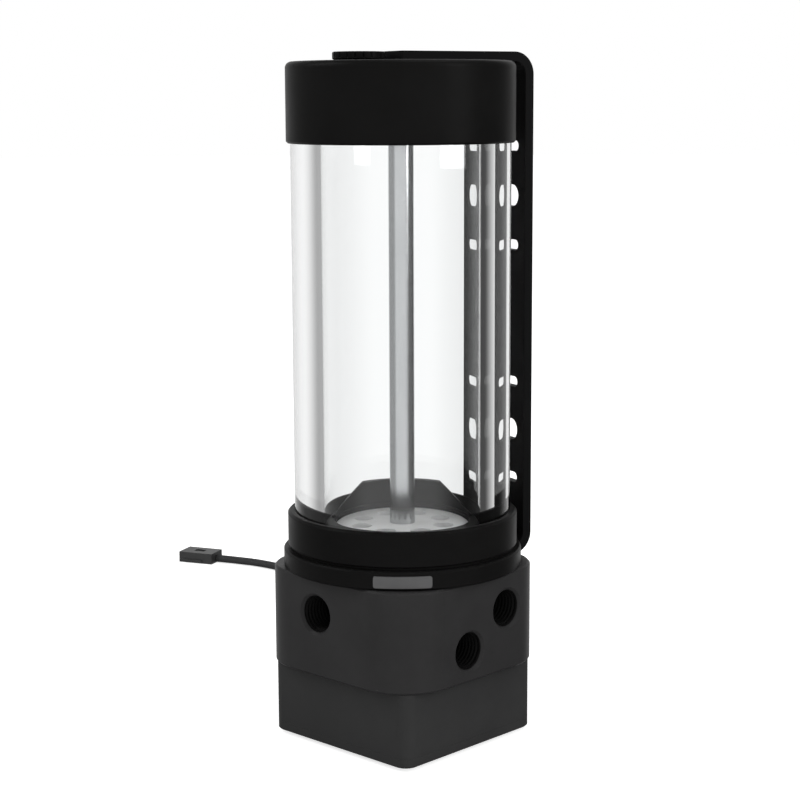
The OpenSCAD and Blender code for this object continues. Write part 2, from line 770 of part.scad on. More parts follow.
module fill_plug_oring() {
  color("#151515") at_bracket() translate([0, -fill_port_y, plug_face_z + plug_gap + plug_seal_minor])
    oring(plug_seal_d, plug_seal_minor);
}

// Threaded plug with a hexagon socket and a notched rim
module fill_plug() {
  notches = 20;
  color("#2c2c2e") at_bracket() translate([0, -fill_port_y, 0]) difference() {
    union() {
      translate([0, 0, plug_head_z]) cylinder(r = plug_head_r, h = plug_head_h);
      translate([0, 0, plug_head_z - plug_thread_l]) cylinder(r = port_r - fit, h = plug_thread_l + e);
    }
    translate([0, 0, plug_head_z + plug_head_h - 5]) cylinder(r = 4.6, h = 5 + e, $fn = 6);
    for (i = [0:notches - 1]) rotate(i * 360 / notches)
      translate([plug_head_r + 0.25, 0, plug_head_z + 0.6]) cylinder(r = 0.7, h = plug_head_h, $fn = 16);
  }
}

// ---- pump lead ----

// Tapered rubber boot with three flex grooves, which points along -X
module lead_relief() {
  wall_x = housing_w / 2;
  color("#171718") translate([-wall_x, 0, lead_z]) rotate([0, -90, 0]) difference() {
    union() {
      cylinder(r1 = 4, r2 = lead_r + 0.7, h = relief_l);
      translate([0, 0, -3]) cylinder(r = 3, h = 3 + e);
    }
    for (i = [0:2]) translate([0, 0, 2 + 1.8 * i])
      pipe(5, 2.9 - 0.3 * i, 0.8);
  }
}

module pump_lead() {
  n = lead_sides;
  rings = len(lead_route);
  color("#121213") polyhedron(
    points = [for (i = [0:rings - 1]) each ring(lead_route[i], tangent(lead_route, i), lead_r, n)],
    faces = concat(
      [[for (k = [0:n - 1]) k]],
      [for (i = [0:rings - 2], k = [0:n - 1], half = [0, 1]) half == 0
        ? [i * n + k, (i + 1) * n + k, (i + 1) * n + (k + 1) % n]
        : [i * n + k, (i + 1) * n + (k + 1) % n, i * n + (k + 1) % n]],
      [[for (k = [n - 1:-1:0]) (rings - 1) * n + k]]
    )
  );
}

// Moves children to the end of the lead, pointing the way that it runs
module at_lead_end() {
  last = len(lead_route) - 1;
  run = lead_route[last] - lead_route[last - 1];
  translate([lead_route[last][0], lead_route[last][1], 0]) rotate(atan2(run[1], run[0])) children();
}

// Flat four-way connector with a latch rail, lying on the floor
module lead_connector() {
  color("#1a1a1b") at_lead_end() difference() {
    union() {
      translate([0, -plug_w / 2, 0]) cube([plug_l, plug_w, plug_h]);
      translate([plug_l * 0.3, -plug_w / 2 - 0.7, 0.6]) cube([plug_l * 0.6, plug_w + 1.4, 0.9]);
    }
    for (i = [-1.5:1.5]) translate([plug_l - contact_l - 2, i * contact_pitch, plug_h / 2])
      translate([0, -contact_w / 2 - 0.15, -contact_w / 2 - 0.15])
        cube([contact_l + 2 + e, contact_w + 0.3, contact_w + 0.3]);
    translate([plug_l * 0.35, -1.5, plug_h - 0.5]) cube([plug_l * 0.3, 3, 0.5 + e]);
  }
}

// Spring contacts deep in the connector
module connector_sockets() {
  color("#c8a84e") at_lead_end() for (i = [-1.5:1.5])
    translate([plug_l - contact_l - 2, i * contact_pitch - contact_w / 2, plug_h / 2 - contact_w / 2])
      difference() {
        cube([contact_l, contact_w, contact_w]);
        translate([1, 0.3, 0.3]) cube([contact_l, contact_w - 0.6, contact_w - 0.6]);
      }
}

base_pad();
bottom_plate();
pump_housing();
housing_screws();
circuit_board();
board_parts();
stator_core();
stator_coils();
pump_can();
rotor_shaft();
rotor_bush();
rotor_magnet();
impeller();
pump_oring();
pump_top();
bracket();
bracket_foot_screws();
flange_oring();
base_flange();
flange_screws();
tube_gasket();
spigot_oring();
collar();
tank_tube();
inlet_plate();
flow_deflector();
tie_rod();
cap_oring();
cap();
tie_rod_screw();
bracket_arm_screws();
fill_plug_oring();
fill_plug();
lead_relief();
pump_lead();
lead_connector();
connector_sockets();
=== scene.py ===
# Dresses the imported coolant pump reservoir: camera and lead first, then pieces, finishes and light.
import bmesh
import bpy
import math
import numpy as np
from mathutils import Matrix, Vector


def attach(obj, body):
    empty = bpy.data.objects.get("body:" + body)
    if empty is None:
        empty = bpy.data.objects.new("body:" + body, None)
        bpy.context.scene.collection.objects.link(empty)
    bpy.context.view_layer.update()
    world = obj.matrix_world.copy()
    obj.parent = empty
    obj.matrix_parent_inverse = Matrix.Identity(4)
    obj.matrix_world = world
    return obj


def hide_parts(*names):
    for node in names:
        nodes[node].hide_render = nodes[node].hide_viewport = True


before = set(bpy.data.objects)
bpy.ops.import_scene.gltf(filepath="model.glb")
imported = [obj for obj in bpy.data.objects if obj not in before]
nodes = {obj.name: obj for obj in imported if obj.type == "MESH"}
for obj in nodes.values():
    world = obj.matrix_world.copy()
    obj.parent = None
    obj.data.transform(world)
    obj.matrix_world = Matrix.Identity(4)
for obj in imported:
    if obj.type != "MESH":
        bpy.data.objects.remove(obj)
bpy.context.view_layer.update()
mm = 0.001
print("frame loaded:", len(nodes), "nodes")


def gridFaces(rows, cols, wrapRows=False, wrapCols=True):
    # quads between neighbouring points of a rows x cols grid, as one array
    i = np.arange(rows if wrapRows else rows - 1)[:, None]
    j = np.arange(cols if wrapCols else cols - 1)[None, :]
    nextI, nextJ = (i + 1) % rows, (j + 1) % cols
    quads = np.stack([i * cols + j, i * cols + nextJ, nextI * cols + nextJ, nextI * cols + j], axis=-1)
    return quads.reshape(-1, 4)


def meshPiece(name, points, faces, body="base", smooth=True):
    # one object at the origin whose mesh holds the points where they belong
    mesh = bpy.data.meshes.new(name)
    mesh.from_pydata(points.reshape(-1, 3).tolist(), [], [list(face) for face in faces])
    mesh.validate()
    mesh.update()
    if smooth:
        mesh.polygons.foreach_set("use_smooth", np.ones(len(mesh.polygons), dtype=bool))
    piece = bpy.data.objects.new(name, mesh)
    bpy.context.scene.collection.objects.link(piece)
    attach(piece, body)
    return piece


def turnedPoints(profile, cols, centre=(0, 0)):
    # surface of revolution: each profile point (r, z) in mm becomes a circle about an upright axis
    r, z = np.array(profile, dtype=float).T
    a = np.linspace(0, 2 * np.pi, cols, endpoint=False)
    x = centre[0] + r[:, None] * np.cos(a)
    y = centre[1] + r[:, None] * np.sin(a)
    return np.stack([x, y, np.broadcast_to(z[:, None], x.shape)], axis=-1) * mm


def sharpen(piece, angle=35):
    # smooth shading that stops at real edges
    piece.data.set_sharp_from_angle(angle=math.radians(angle))


camera = {
    "polarAngle": 313.8,  # degrees from +X, seen from above
    "distance": 591.4,  # from the tank's axis, mm
    "height": 204,
    "aim": (-0.43, -0.42, 108.7),
    "lens": 84.9,
    "sensor": 36,
    "clip": (0.05, 20),  # nearest and farthest that it sees, m
    "roll": -0.25,
}


def makeCamera(c):
    # stands at polar angle, distance and height, looks at the aim point and is rolled about its own axis
    a = math.radians(c["polarAngle"])
    place = Vector((c["distance"] * math.cos(a), c["distance"] * math.sin(a), c["height"])) * mm
    aim = Vector(c["aim"]) * mm
    data = bpy.data.cameras.new("camera")
    data.lens, data.sensor_width = c["lens"], c["sensor"]
    data.clip_start, data.clip_end = c["clip"]
    eye = bpy.data.objects.new("camera", data)
    bpy.context.scene.collection.objects.link(eye)
    turn = (aim - place).to_track_quat("-Z", "Y").to_matrix().to_4x4()
    eye.matrix_world = Matrix.Translation(place) @ turn @ Matrix.Rotation(math.radians(c["roll"]), 4, "Z")
    bpy.context.scene.camera = eye


makeCamera(camera)

lead = {
    "exit": (-38, 0, 12),
    "floor": 1.7,  # height of the lead's middle where it lies
    "radius": 1.6,
    "sides": 20,
    "steps": 8,  # rings between two route points
    "run": [
        (0, 0, 1), (-4, 0, 1), (-8, 0.5, 0.89), (-12, 1.7, 0.65), (-15.5, 3.4, 0.38), (-19.5, 6, 0.15),
        (-25, 10, 0.03), (-32, 17, 0), (-38, 25, 0), (-44.5, 36, 0), (-51, 48, 0), (-59, 61, 0),
        (-68.5, 74, 0), (-80, 86, 0), (-94, 97, 0), (-109, 105, 0), (-125, 110.5, 0),
        (-141, 113, 0), (-156, 112, 0), (-168, 108.5, 0), (-177, 105, 0),
    ],
}


def leadPath(l):
    # Catmull-Rom curve through the route's points, sampled evenly in each stretch, in metres
    run = np.array(l["run"], dtype=float)
    x0, y0, z0 = l["exit"]
    p = np.stack([x0 + run[:, 0], y0 + run[:, 1], l["floor"] + (z0 - l["floor"]) * run[:, 2]], axis=1)
    a = p[np.maximum(np.arange(len(p) - 1) - 1, 0)]
    b, c = p[:-1], p[1:]
    d = p[np.minimum(np.arange(len(p) - 1) + 2, len(p) - 1)]
    t = np.linspace(0, 1, l["steps"], endpoint=False)[None, :, None]
    a, b, c, d = (q[:, None, :] for q in (a, b, c, d))
    curve = (2 * b + (c - a) * t + (2 * a - 5 * b + 4 * c - d) * t**2 + (3 * b - a - 3 * c + d) * t**3) / 2
    return np.concatenate([curve.reshape(-1, 3), p[-1:]]) * mm


def makeLead(l):
    # a circle carried along the path, closed by a fan at each end; UV: u turns round the lead, and v
    # is the way along it in circumferences
    path = leadPath(l)
    way = np.gradient(path, axis=0)
    way /= np.linalg.norm(way, axis=1)[:, None]
    side = np.cross(way, [0, 0, 1.0])
    side /= np.linalg.norm(side, axis=1)[:, None]
    up = np.cross(side, way)
    a = np.linspace(0, 2 * np.pi, l["sides"], endpoint=False)
    r = l["radius"] * mm
    rings = path[:, None] + r * (np.cos(a)[None, :, None] * side[:, None] + np.sin(a)[None, :, None] * up[:, None])
    points = np.concatenate([rings.reshape(-1, 3), path[:1], path[-1:]])
    faces = gridFaces(len(path), l["sides"])[:, ::-1].tolist()
    n, last, k = l["sides"], (len(path) - 1) * l["sides"], len(path) * l["sides"]
    faces += [[k, j, (j + 1) % n] for j in range(n)]
    faces += [[k + 1, last + (j + 1) % n, last + j] for j in range(n)]
    piece = meshPiece("pumpLead", points, faces)
    run = np.concatenate([[0], np.cumsum(np.linalg.norm(np.diff(path, axis=0), axis=1))])
    uv = piece.data.uv_layers.new(name="sleeve")
    vertex = np.zeros(len(piece.data.loops), dtype=int)
    piece.data.loops.foreach_get("vertex_index", vertex)
    around = np.where(vertex < k, (vertex % n) / n, 0.5)
    corners = np.zeros(len(piece.data.polygons), dtype=int)
    piece.data.polygons.foreach_get("loop_total", corners)
    face = np.repeat(np.arange(len(corners)), corners)
    farthest = np.maximum.reduceat(around, np.cumsum(corners) - corners)
    around = np.where((around == 0) & (farthest[face] > 0.6), 1.0, around)
    along = run[np.minimum(vertex // n, len(path) - 1)] / (2 * np.pi * r)
    uv.data.foreach_set("uv", np.stack([around, along], axis=1).astype(np.float32).ravel())
    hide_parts("pump_lead")
    print("lead length mm:", round(run[-1] * 1000, 1))
    return piece


leadPiece = makeLead(lead)

tube = {"outer": 34.4, "bore": 25, "foot": 63, "top": 196.4, "polish": 0.35, "cols": 256}


def makeTube(t):
    # profile walked down the outside, across the foot, up the bore and across the top
    p, zRows = t["polish"], np.linspace(t["foot"] + t["polish"], t["top"] - t["polish"], 13)
    outside = [(t["outer"], z) for z in zRows]
    bore = [(t["bore"], z) for z in zRows[::-1]]
    profile = ([(t["outer"] - p, t["foot"])] + outside + [(t["outer"] - p, t["top"])]
               + [(t["bore"] + p, t["top"])] + bore + [(t["bore"] + p, t["foot"])])
    points = turnedPoints(profile, t["cols"])
    piece = meshPiece("tankTube", points, gridFaces(len(profile), t["cols"], wrapRows=True))
    sharpen(piece)
    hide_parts("tank_tube")
    return piece


tubePiece = makeTube(tube)

portThread = {"wall": 5.93, "crest": 5.42, "root": 5.86, "pitch": 1.337, "depth": 11.0, "start": 0.9,
              "cols": 72, "rowsPerPitch": 8}
threadSlope, threadFlat = 1.5, 0.25  # how steep a thread's flanks are, and the share that its root is cut by
ports = [
    {"name": "frontPortThread", "mouth": (-5.2, -34, 44.4), "inward": (0, 1, 0)},
    {"name": "rightUpperPortThread", "mouth": (34, 12, 44.4), "inward": (-1, 0, 0)},
    {"name": "rightLowerPortThread", "mouth": (34, -5.5, 34.2), "inward": (-1, 0, 0)},
]


def threadWave(angle, depth, pitch):
    # 0 at a root and 1 at a crest: a trapezium wave of the way along the axis less the turn
    phase = (depth / pitch - angle / (2 * np.pi)) % 1.0
    return np.clip((0.5 - np.abs(phase - 0.5)) * 2 * threadSlope - threadFlat, 0, 1)


def makePortThread(port, t):
    # sleeve in the port's wall: its inner face waves between root and crest along a helix
    rows = int((t["depth"] - t["start"]) / t["pitch"] * t["rowsPerPitch"])
    depth = np.linspace(t["start"], t["depth"], rows)[:, None]
    a = np.linspace(0, 2 * np.pi, t["cols"], endpoint=False)[None, :]
    fade = np.clip(np.minimum(depth - t["start"], t["depth"] - depth) / t["pitch"], 0, 1)
    r = t["root"] - (t["root"] - t["crest"]) * threadWave(a, depth, t["pitch"]) * fade
    inner = np.stack([r * np.cos(a), r * np.sin(a), depth + 0 * a], axis=-1)
    outerDepth = np.array([[t["depth"]], [t["start"]]])
    outer = np.stack([t["wall"] * np.cos(a) + 0 * outerDepth, t["wall"] * np.sin(a) + 0 * outerDepth,
                      outerDepth + 0 * a], axis=-1)
    local = np.concatenate([inner, outer]).reshape(-1, 3)
    inward = Vector(port["inward"])
    turn = np.array(inward.to_track_quat("Z", "Y").to_matrix())
    points = (local @ turn.T + np.array(port["mouth"])) * mm
    piece = meshPiece(port["name"], points, gridFaces(rows + 2, t["cols"], wrapRows=True)[:, ::-1])
    sharpen(piece, 50)
    return piece


portPieces = [makePortThread(port, portThread) for port in ports]

plug = {
    "place": (-4.239, -13.866),
    "headFoot": 215.0,
    "headHeight": 2.4,
    "headRadius": 8.2,
    "scallops": 20,
    "scallopDepth": 0.45,
    "scallopRise": (0.3, 0.55, 0.75),  # heights over the head's foot where the plain rim ends and scallops start
    "threadLength": 9,
    "threadEnd": 0.5,  # plain length at either end of the thread
    "threadFade": 0.8,
    "rowsPerPitch": 9,
    "tip": 0.6,  # how much narrower the tip is than the core
    "core": 5.42,
    "crest": 5.84,
    "pitch": 1.337,
    "hexFlat": 4.0,
    "hexDepth": 5,
    "hexChamfer": 0.3,
    "hexCone": 0.8,  # depth of the cone at the socket's foot
    "edge": 0.45,
    "cols": 240,
}


def makePlug(p):
    # one grid from the tip's middle out over the thread, the scalloped head and down into the socket
    a = np.linspace(0, 2 * np.pi, p["cols"], endpoint=False)
    foot, top = p["headFoot"] - p["threadLength"], p["headFoot"] + p["headHeight"]
    ones = np.ones_like(a)
    low, high = foot + p["threadEnd"], p["headFoot"] - p["threadEnd"]
    chamfer = p["hexChamfer"]
    rows = [(0 * ones, foot), ((p["core"] - p["tip"]) * ones, foot)]
    for z in np.linspace(low, high, int((p["threadLength"] - 1) / p["pitch"] * p["rowsPerPitch"])):
        fade = np.clip(min(z - foot - p["threadEnd"], high - z) / p["threadFade"], 0, 1)
        rows.append((p["core"] + (p["crest"] - p["core"]) * fade * threadWave(a, z, p["pitch"]), z))
    rows.append((p["core"] * ones, p["headFoot"]))
    rows.append(((p["headRadius"] - 0.4) * ones, p["headFoot"]))
    rim = p["headRadius"] - p["scallopDepth"] * np.clip(np.cos(p["scallops"] * a) * 2.2 - 1.1, 0, 1)
    rows += [(shape, p["headFoot"] + rise)
             for shape, rise in zip((p["headRadius"] * ones, p["headRadius"] * ones, rim), p["scallopRise"])]
    rows.append((rim, top - p["edge"]))
    rows += [(rim - p["edge"] * (1 - math.cos(t)), top - p["edge"] * (1 - math.sin(t)))
             for t in (0.5, 1.0, math.pi / 2)]
    hexagon = p["hexFlat"] / np.cos((a + math.pi / 6) % (math.pi / 3) - math.pi / 6)
    rows += [(rim * 0.35 + 0.65 * hexagon + chamfer, top), (hexagon + chamfer, top), (hexagon, top - chamfer),
             (hexagon, top - p["hexDepth"]), (0.02 * ones, top - p["hexDepth"] - p["hexCone"])]
    r = np.stack([row[0] for row in rows])
    z = np.array([row[1] for row in rows])[:, None] + 0 * r
    x, y = p["place"]
    grid = np.stack([x + r * np.cos(a), y + r * np.sin(a), z], axis=-1) * mm
    faces = gridFaces(len(rows), p["cols"])
    piece = meshPiece("fillPlug", grid, faces, "plug")
    closePoles(piece)
    sharpen(piece, 40)
    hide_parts("fill_plug")
    return piece


def closePoles(piece, gap=0.03):
    # joins the points of a row that has shrunk to one place
    shape = bmesh.new()
    shape.from_mesh(piece.data)
    bmesh.ops.remove_doubles(shape, verts=shape.verts, dist=gap * mm * 0.1)
    holes = [edge for edge in shape.edges if edge.is_boundary]
    if holes:
        bmesh.ops.holes_fill(shape, edges=holes, sides=0)
    shape.to_mesh(piece.data)
    shape.free()


plugPiece = makePlug(plug)

plate = {"radius": 38, "thick": 0.35, "width": 18, "height": 3.8, "z": 58.9, "angle": 313.8, "corner": 0.7,
         "edge": 0.12, "sunk": 0.05, "cols": 40, "cornerCols": 8}


def makePlate(p):
    # a rounded rectangle wrapped on the flange's rim: columns run round the rim, and each column's half
    # height shrinks on a circle at the corners; rows go round the section, back, edge, front and edge
    half, c = p["width"] / 2, p["corner"]
    t = np.linspace(0, np.pi / 2, p["cornerCols"])
    ends = half - c + c * np.sin(t)
    x = np.concatenate([-ends[::-1], np.linspace(-half + c, half - c, p["cols"])[1:-1], ends])
    past = np.clip(np.abs(x) - (half - c), 0, c)
    tall = p["height"] / 2 - c + np.sqrt(np.maximum(c**2 - past**2, 1e-4))
    inset = np.minimum(p["edge"], tall * 0.3)
    side, front = p["thick"] - p["edge"], p["thick"]
    rows = [(-tall, 0 * x - p["sunk"]), (-tall, 0 * x + side), (-tall + inset, 0 * x + front),
            (tall - inset, 0 * x + front), (tall, 0 * x + side), (tall, 0 * x - p["sunk"])]
    height = np.stack([row[0] for row in rows])
    r = p["radius"] + np.stack([row[1] for row in rows])
    a = math.radians(p["angle"]) + x / p["radius"] + 0 * height
    grid = np.stack([r * np.cos(a), r * np.sin(a), p["z"] + height], axis=-1) * mm
    n, cols = len(rows), len(x)
    faces = gridFaces(n, cols, wrapRows=True, wrapCols=False)[:, ::-1].tolist()
    faces += [[k * cols for k in range(n)], [k * cols + cols - 1 for k in range(n)][::-1]]
    piece = meshPiece("flangePlate", grid, faces)
    sharpen(piece)
    return piece


platePiece = makePlate(plate)
print("pieces made")


def newGroup(name, inputs, outputs):
    group = bpy.data.node_groups.new(name, "ShaderNodeTree")
    for label, value in inputs:
        socket = group.interface.new_socket(label, in_out="INPUT", socket_type="NodeSocketFloat")
        socket.default_value = value
    for label in outputs:
        group.interface.new_socket(label, in_out="OUTPUT", socket_type="NodeSocketFloat")
    return group, group.nodes.new("NodeGroupInput"), group.nodes.new("NodeGroupOutput")


def mathNode(tree, operation, a, b=None, clamp=False):
    node = tree.nodes.new("ShaderNodeMath")
    node.operation, node.use_clamp = operation, clamp
    for socket, value in zip(node.inputs, (a, b)):
        if value is None:
            continue
        if isinstance(value, (int, float)):
            socket.default_value = value
        else:
            tree.links.new(value, socket)
    return node.outputs[0]


def objectCoordinates(tree):
    return tree.nodes.new("ShaderNodeTexCoord").outputs["Object"]


def noiseNode(tree, vector, scale, detail=3.0, roughness=0.5):
    node = tree.nodes.new("ShaderNodeTexNoise")
    tree.links.new(vector, node.inputs["Vector"])
    if isinstance(scale, (int, float)):
        node.inputs["Scale"].default_value = scale
    else:
        tree.links.new(scale, node.inputs["Scale"])
    node.inputs["Detail"].default_value = detail
    node.inputs["Roughness"].default_value = roughness
    return node.outputs[0]


def grainGroup():
    # fine even grain of a moulded or coated face: 0.65 x a noise + 0.35 x one about three times finer
    g, start, end = newGroup("fineGrain", [("Scale", 2500.0)], ["Height"])
    place = objectCoordinates(g)
    coarse = noiseNode(g, place, start.outputs["Scale"], 2.0)
    fine = noiseNode(g, place, mathNode(g, "MULTIPLY", start.outputs["Scale"], 3.1), 1.0)
    total = mathNode(g, "ADD", mathNode(g, "MULTIPLY", coarse, 0.65), mathNode(g, "MULTIPLY", fine, 0.35))
    g.links.new(total, end.inputs["Height"])
    return g


def turnedGroup():
    # lathe marks: a sine of radius plus height, its strength broken up by noise
    g, start, end = newGroup("latheMarks", [("Pitch mm", 0.25)], ["Height"])
    split = g.nodes.new("ShaderNodeSeparateXYZ")
    place = objectCoordinates(g)
    g.links.new(place, split.inputs[0])
    square = mathNode(g, "ADD", mathNode(g, "MULTIPLY", split.outputs[0], split.outputs[0]),
                      mathNode(g, "MULTIPLY", split.outputs[1], split.outputs[1]))
    way = mathNode(g, "ADD", mathNode(g, "SQRT", square), split.outputs[2])
    turns = mathNode(g, "DIVIDE", mathNode(g, "MULTIPLY", way, 2000 * math.pi), start.outputs["Pitch mm"])
    wave = mathNode(g, "SINE", turns)
    patch = noiseNode(g, place, 120.0, 3.0)
    g.links.new(mathNode(g, "MULTIPLY", wave, patch), end.inputs["Height"])
    return g


def smudgeGroup():
    # soft patches where hands and cloths have been, 0 clean to 1 dull
    g, start, end = newGroup("handlingMarks", [("Scale", 35.0), ("Contrast", 2.2)], ["Mask"])
    patch = noiseNode(g, objectCoordinates(g), start.outputs["Scale"], 5.0, 0.62)
    centred = mathNode(g, "MULTIPLY", mathNode(g, "SUBTRACT", patch, 0.5), start.outputs["Contrast"])
    g.links.new(mathNode(g, "ADD", centred, 0.5, clamp=True), end.inputs["Mask"])
    return g


def dustGroup():
    # fine dust that settles on faces that look up, in specks
    g, start, end = newGroup("settledDust", [("Amount", 0.25)], ["Mask"])
    shape = g.nodes.new("ShaderNodeNewGeometry")
    split = g.nodes.new("ShaderNodeSeparateXYZ")
    g.links.new(shape.outputs["Normal"], split.inputs[0])
    upward = mathNode(g, "MULTIPLY", mathNode(g, "SUBTRACT", split.outputs[2], 0.55, clamp=True), 2.2)
    specks = noiseNode(g, objectCoordinates(g), 1400.0, 4.0, 0.7)
    sparse = mathNode(g, "MULTIPLY", mathNode(g, "SUBTRACT", specks, 0.55, clamp=True), 5.0, clamp=True)
    mask = mathNode(g, "MULTIPLY", mathNode(g, "MULTIPLY", upward, sparse), start.outputs["Amount"])
    g.links.new(mask, end.inputs["Mask"])
    return g


def brushedGroup():
    # long scratches along Z: noise squeezed across and stretched along
    g, start, end = newGroup("drawnLines", [("Across", 9000.0), ("Along", 60.0)], ["Height"])
    split = g.nodes.new("ShaderNodeSeparateXYZ")
    join = g.nodes.new("ShaderNodeCombineXYZ")
    g.links.new(objectCoordinates(g), split.inputs[0])
    g.links.new(mathNode(g, "MULTIPLY", split.outputs[0], start.outputs["Across"]), join.inputs[0])
    g.links.new(mathNode(g, "MULTIPLY", split.outputs[1], start.outputs["Across"]), join.inputs[1])
    g.links.new(mathNode(g, "MULTIPLY", split.outputs[2], start.outputs["Along"]), join.inputs[2])
    g.links.new(noiseNode(g, join.outputs[0], 1.0, 2.0), end.inputs["Height"])
    return g


groups = {"grain": grainGroup(), "turned": turnedGroup(), "smudge": smudgeGroup(), "dust": dustGroup(),
          "brushed": brushedGroup()}

finishes = {
    "acetalTop": {"color": (0.025, 0.0245, 0.025), "worn": (0.034, 0.0335, 0.034), "rough": (0.36, 0.5),
                  "grain": (1800, 0.012), "dust": 0.2, "edge": 0.35, "specular": 0.12},
    "acetalTurned": {"color": (0.005, 0.0049, 0.0048), "worn": (0.008, 0.0078, 0.0077), "rough": (0.34, 0.48),
                     "turned": (0.3, 0.006), "dust": 0.12, "edge": 0.3, "specular": 0.05},
    "housing": {"color": (0.029, 0.029, 0.0295), "worn": (0.038, 0.038, 0.038), "rough": (0.46, 0.6),
                "grain": (2600, 0.02), "edge": 0.25, "specular": 0.14},
    "powderCoat": {"color": (0.0035, 0.0035, 0.004), "worn": (0.006, 0.006, 0.006), "rough": (0.45, 0.6),
                   "grain": (1500, 0.03), "dust": 0.08, "edge": 0.3, "specular": 0.06},
    "rod": {"color": (0.62, 0.63, 0.64), "worn": (0.55, 0.56, 0.57), "rough": (0.14, 0.24), "metal": 1.0,
            "lines": (7000, 0.003)},
    "inletPlate": {"color": (0.95, 0.95, 0.945), "worn": (0.88, 0.88, 0.875), "rough": (0.4, 0.5), "metal": 0.1,
                   "turned": (0.35, 0.008)},
    "flangePlate": {"color": (0.13, 0.13, 0.131), "worn": (0.095, 0.095, 0.096), "rough": (0.32, 0.44), "metal": 0.7,
                    "lines": (5000, 0.004)},
    "blackScrew": {"color": (0.05, 0.05, 0.053), "worn": (0.09, 0.09, 0.09), "rough": (0.28, 0.42), "metal": 0.85,
                   "grain": (4000, 0.004)},
    "zincScrew": {"color": (0.5, 0.51, 0.53), "worn": (0.4, 0.41, 0.42), "rough": (0.25, 0.4), "metal": 1.0,
                  "grain": (3000, 0.005)},
    "rubber": {"color": (0.014, 0.014, 0.014), "worn": (0.022, 0.022, 0.021), "rough": (0.6, 0.78),
               "grain": (2200, 0.015)},
    "footPad": {"color": (0.016, 0.016, 0.017), "worn": (0.028, 0.028, 0.028), "rough": (0.75, 0.9),
                "grain": (1600, 0.05)},
    "board": {"color": (0.02, 0.12, 0.05), "worn": (0.015, 0.09, 0.04), "rough": (0.25, 0.38), "grain": (900, 0.008)},
    "chips": {"color": (0.03, 0.03, 0.032), "worn": (0.045, 0.045, 0.045), "rough": (0.45, 0.6), "grain": (3500, 0.01)},
    "coreSteel": {"color": (0.3, 0.31, 0.33), "worn": (0.2, 0.2, 0.21), "rough": (0.35, 0.55), "metal": 1.0,
                  "turned": (0.5, 0.02)},
    "copper": {"color": (0.6, 0.24, 0.09), "worn": (0.4, 0.15, 0.06), "rough": (0.25, 0.4), "metal": 1.0,
               "turned": (0.4, 0.03)},
    "canPlastic": {"color": (0.035, 0.035, 0.038), "worn": (0.05, 0.05, 0.052), "rough": (0.4, 0.55),
                   "grain": (2400, 0.01)},
    "ceramic": {"color": (0.78, 0.76, 0.7), "worn": (0.7, 0.68, 0.62), "rough": (0.12, 0.2), "grain": (3000, 0.002)},
    "carbon": {"color": (0.05, 0.05, 0.054), "worn": (0.08, 0.08, 0.084), "rough": (0.28, 0.4), "turned": (0.2, 0.004)},
    "ferrite": {"color": (0.07, 0.07, 0.075), "worn": (0.11, 0.11, 0.115), "rough": (0.4, 0.6), "grain": (2500, 0.02)},
    "impellerPlastic": {"color": (0.6, 0.6, 0.57), "worn": (0.5, 0.5, 0.47), "rough": (0.35, 0.5),
                        "grain": (2200, 0.008)},
    "connector": {"color": (0.016, 0.016, 0.017), "worn": (0.03, 0.03, 0.03), "rough": (0.36, 0.5),
                  "grain": (3000, 0.012), "edge": 0.2},
    "contacts": {"color": (0.7, 0.52, 0.22), "worn": (0.55, 0.4, 0.18), "rough": (0.25, 0.4), "metal": 1.0,
                 "grain": (4000, 0.004)},
}


def placeGroup(tree, key, values):
    node = tree.nodes.new("ShaderNodeGroup")
    node.node_tree = groups[key]
    for label, value in values.items():
        node.inputs[label].default_value = value
    return node.outputs[0]


def mixColors(tree, factor, a, b):
    node = tree.nodes.new("ShaderNodeMix")
    node.data_type = "RGBA"
    tree.links.new(factor, node.inputs["Factor"])
    for socket, value in ((node.inputs[6], a), (node.inputs[7], b)):
        if isinstance(value, tuple):
            socket.default_value = (*value, 1)
        else:
            tree.links.new(value, socket)
    return node.outputs[2]


def makeFinish(name, f):
    # colour and gloss vary with handling marks, dust lies on top, and grain or tool marks give the bump
    material = bpy.data.materials.new(name)
    material.use_nodes = True
    tree = material.node_tree
    shader = tree.nodes["Principled BSDF"]
    shader.inputs["Metallic"].default_value = f.get("metal", 0.0)
    shader.inputs["IOR"].default_value = 1.46
    shader.inputs["Specular IOR Level"].default_value = f.get("specular", 0.5)
    marks = placeGroup(tree, "smudge", {"Scale": 38.0, "Contrast": 2.0})
    color = mixColors(tree, marks, f["color"], f["worn"])
    if "dust" in f:
        dust = placeGroup(tree, "dust", {"Amount": f["dust"]})
        color = mixColors(tree, dust, color, (0.3, 0.29, 0.28))
    tree.links.new(color, shader.inputs["Base Color"])
    low, high = f["rough"]
    gloss = tree.nodes.new("ShaderNodeMapRange")
    gloss.inputs["To Min"].default_value, gloss.inputs["To Max"].default_value = low, high
    tree.links.new(marks, gloss.inputs["Value"])
    tree.links.new(gloss.outputs[0], shader.inputs["Roughness"])
    bump = tree.nodes.new("ShaderNodeBump")
    if "grain" in f:
        scale, depth = f["grain"]
        height = placeGroup(tree, "grain", {"Scale": float(scale)})
    elif "turned" in f:
        pitch, depth = f["turned"]
        height = placeGroup(tree, "turned", {"Pitch mm": pitch})
    else:
        across, depth = f["lines"]
        height = placeGroup(tree, "brushed", {"Across": float(across), "Along": 50.0})
    bump.inputs["Distance"].default_value = depth * mm
    bump.inputs["Strength"].default_value = 1.0
    tree.links.new(height, bump.inputs["Height"])
    if "edge" in f:
        soft = tree.nodes.new("ShaderNodeBevel")
        soft.samples = 4
        soft.inputs["Radius"].default_value = f["edge"] * mm
        tree.links.new(soft.outputs[0], bump.inputs["Normal"])
    tree.links.new(bump.outputs[0], shader.inputs["Normal"])
    return material


